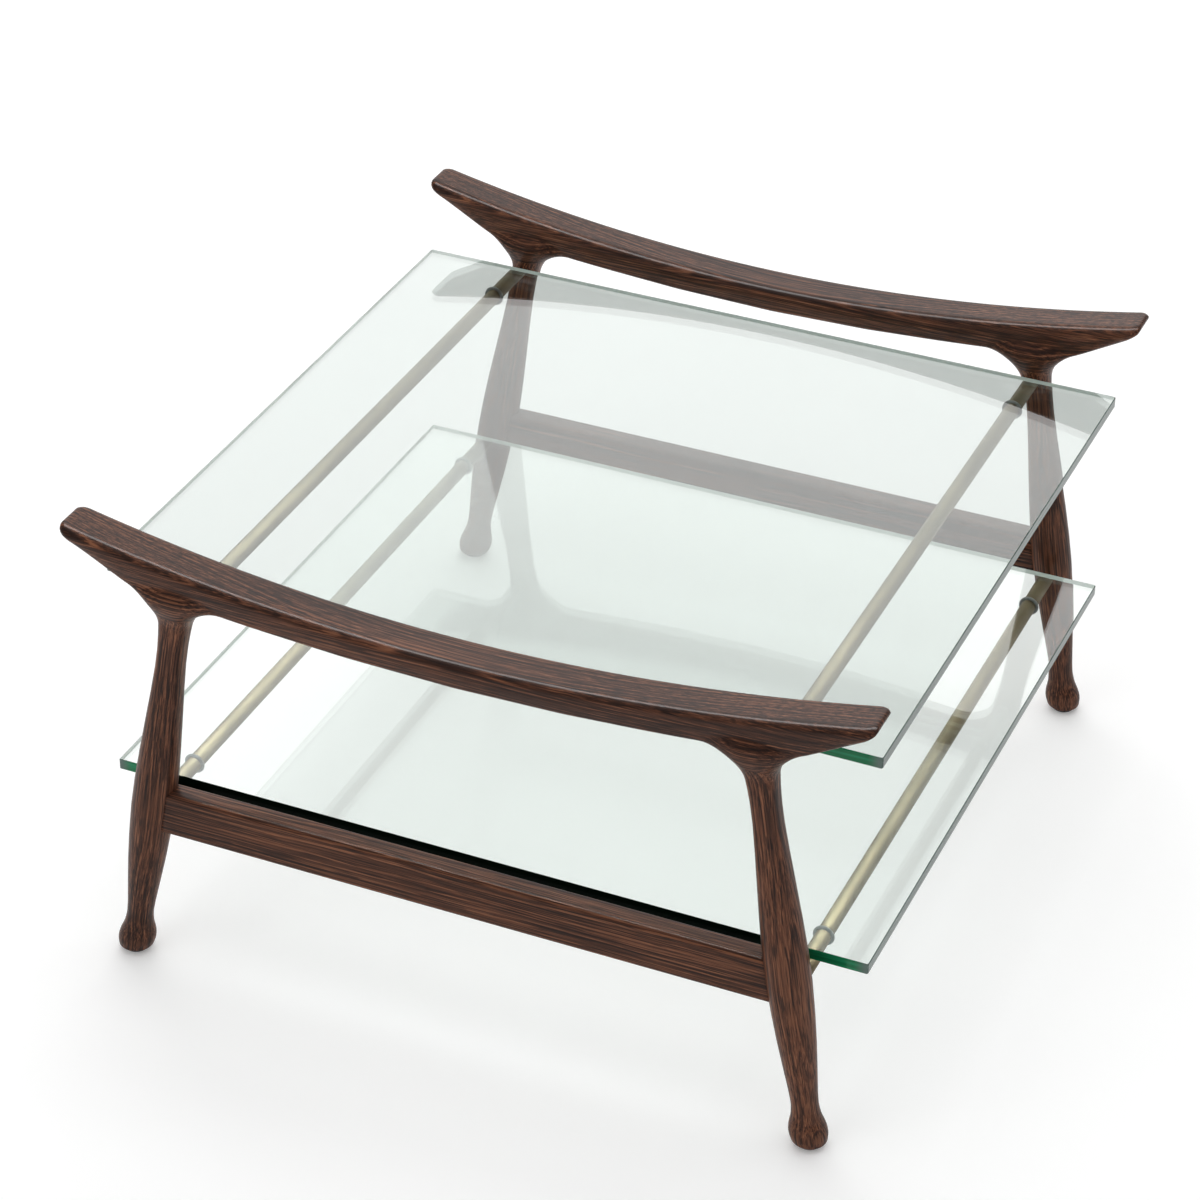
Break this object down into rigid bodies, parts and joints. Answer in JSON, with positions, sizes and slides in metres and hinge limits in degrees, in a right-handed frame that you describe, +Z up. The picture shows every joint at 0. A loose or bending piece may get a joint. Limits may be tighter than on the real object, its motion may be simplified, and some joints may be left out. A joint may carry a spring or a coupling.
{
  "type": "two-tier coffee table",
  "caption": "Low table with two shaped wooden side frames joined by brass crossbars, which carry a glass top and a glass shelf on rubber rings.",
  "frame": {"origin": "on the floor, under the middle of the table", "axes": "+Z up, X along the wooden rails, Y along the brass crossbars; the near side is -Y and the left side is -X"},
  "size_m": [0.824, 0.866, 0.5052],
  "materials": {
    "rail_wood": "dark walnut, satin lacquer",
    "leg_wood": "dark walnut, satin lacquer",
    "stretcher_wood": "dark walnut, satin lacquer",
    "brass": "brushed, lightly aged",
    "glass": "clear float glass, polished edges",
    "clear_rubber": "translucent grey, satin",
    "glide_plastic": "black, satin",
    "steel": "zinc plated"
  },
  "bodies": {
    "frame": {"near_rail": "rail_wood", "near_stretcher": "stretcher_wood", "near_left_leg": "leg_wood", "near_right_leg": "leg_wood", "far_rail": "rail_wood", "far_stretcher": "stretcher_wood", "far_left_leg": "leg_wood", "far_right_leg": "leg_wood", "upper_left_crossbar": "brass", "upper_right_crossbar": "brass", "lower_left_crossbar": "brass", "lower_right_crossbar": "brass", "ring_upper_left_near": "clear_rubber", "end_plug_upper_left_near": "steel", "spigot_upper_left_near": "steel", "grub_screw_upper_left_near": "steel", "ring_upper_left_far": "clear_rubber", "end_plug_upper_left_far": "steel", "spigot_upper_left_far": "steel", "grub_screw_upper_left_far": "steel", "ring_upper_right_near": "clear_rubber", "end_plug_upper_right_near": "steel", "spigot_upper_right_near": "steel", "grub_screw_upper_right_near": "steel", "ring_upper_right_far": "clear_rubber", "end_plug_upper_right_far": "steel", "spigot_upper_right_far": "steel", "grub_screw_upper_right_far": "steel", "ring_lower_left_near": "clear_rubber", "end_plug_lower_left_near": "steel", "spigot_lower_left_near": "steel", "grub_screw_lower_left_near": "steel", "ring_lower_left_far": "clear_rubber", "end_plug_lower_left_far": "steel", "spigot_lower_left_far": "steel", "grub_screw_lower_left_far": "steel", "ring_lower_right_near": "clear_rubber", "end_plug_lower_right_near": "steel", "spigot_lower_right_near": "steel", "grub_screw_lower_right_near": "steel", "ring_lower_right_far": "clear_rubber", "end_plug_lower_right_far": "steel", "spigot_lower_right_far": "steel", "grub_screw_lower_right_far": "steel", "glide_near_left": "glide_plastic", "glide_nail_near_left": "steel", "glide_near_right": "glide_plastic", "glide_nail_near_right": "steel", "glide_far_left": "glide_plastic", "glide_nail_far_left": "steel", "glide_far_right": "glide_plastic", "glide_nail_far_right": "steel"},
    "top_plate": {"upper_glass": "glass"},
    "shelf_plate": {"lower_glass": "glass"}
  },
  "joints": [
    {"name": "upper_glass_lift", "type": "slide", "parent": "frame", "child": "top_plate", "axis": [0, 0, 1], "range_m": [0, 0.1]},
    {"name": "lower_glass_slide", "type": "slide", "parent": "frame", "child": "shelf_plate", "axis": [1, 0, 0], "range_m": [0, 0.83]}
  ]
}
